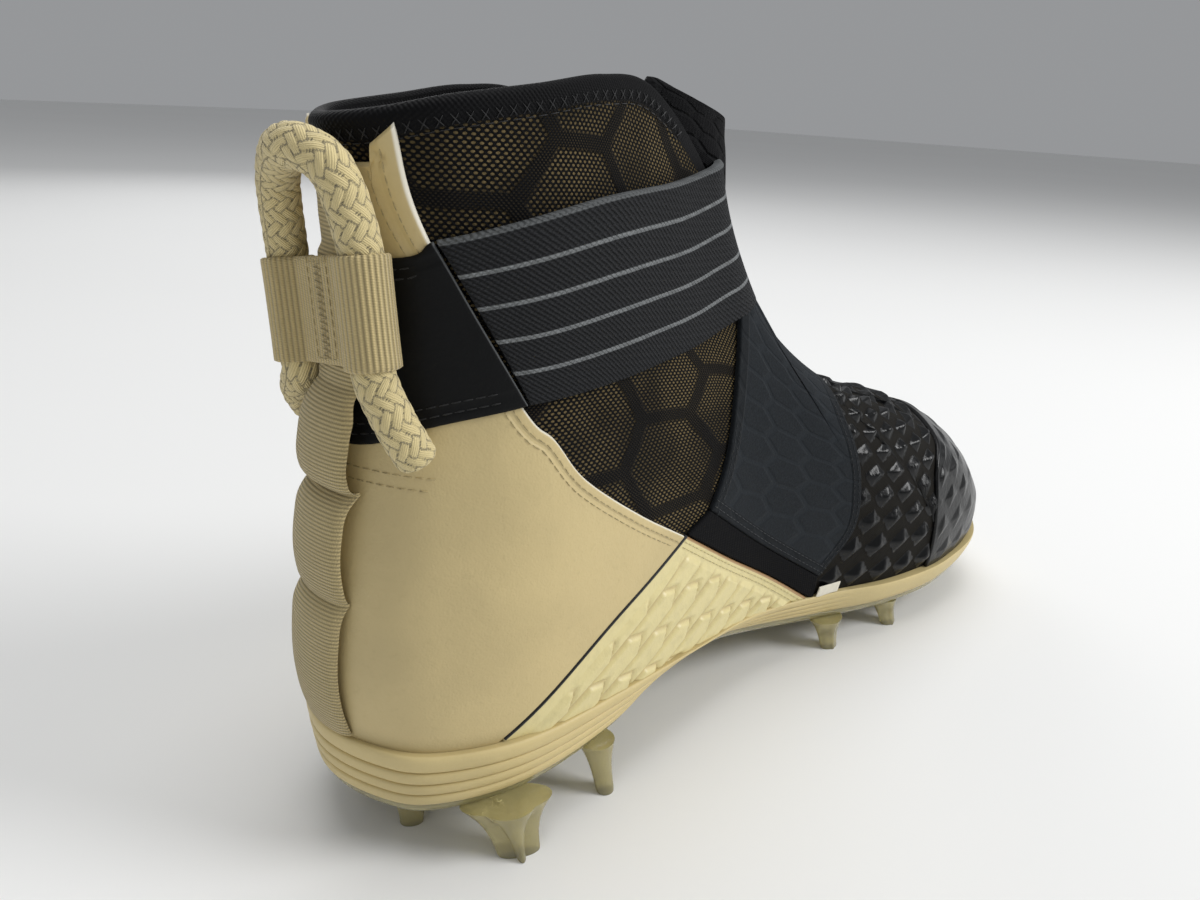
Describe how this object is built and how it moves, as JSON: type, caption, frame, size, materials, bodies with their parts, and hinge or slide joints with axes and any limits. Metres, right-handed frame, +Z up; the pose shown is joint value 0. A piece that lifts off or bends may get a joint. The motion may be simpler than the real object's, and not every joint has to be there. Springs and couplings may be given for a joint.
{
  "type": "football cleat",
  "caption": "High-cut american football cleat for the left foot, with straps across ankle and instep and a cord pull at the heel.",
  "frame": {"origin": "middle of the bounding box at the ground, on which the stud tips stand", "axes": "+X from heel to toe, +Y to the outer (lateral) side of the foot, +Z up"},
  "size_m": [0.3116, 0.0968, 0.193],
  "materials": {
    "sole_plate": "translucent cream moulding",
    "midsole_foam": "matt cream moulding",
    "insole_foam": "cloth-topped foam",
    "upper_textile": "black mesh with glossy printed scales at the toe",
    "tongue_textile": "black padded knit",
    "quarter_leather": "smooth cream leather",
    "cage_film": "cream moulded overlay with scale relief",
    "toe_film": "glossy black scale film",
    "strap_leather": "black coated leather",
    "strap_elastic": "black elastic with pale stripes",
    "instep_suede": "charcoal suede with embossed hexagons",
    "gore_textile": "plain black stretch cloth",
    "pull_cord": "cream braided cord",
    "sleeve_webbing": "cream woven webbing",
    "ribbon_webbing": "cream grosgrain ribbon"
  },
  "bodies": {
    "root": {"outsole": "sole_plate", "midsole": "midsole_foam", "insole": "insole_foam", "upper": "upper_textile", "tongue": "tongue_textile", "heel_quarter": "quarter_leather", "toe_cap": "toe_film", "medial_cage": "cage_film", "lateral_cage": "cage_film", "ankle_strap_base": "strap_leather", "ankle_strap": "strap_elastic", "instep_strap": "instep_suede", "medial_strap_gore": "gore_textile", "lateral_strap_gore": "gore_textile", "pull_loop": "pull_cord", "loop_sleeve": "sleeve_webbing", "heel_ribbon": "ribbon_webbing"}
  },
  "joints": []
}
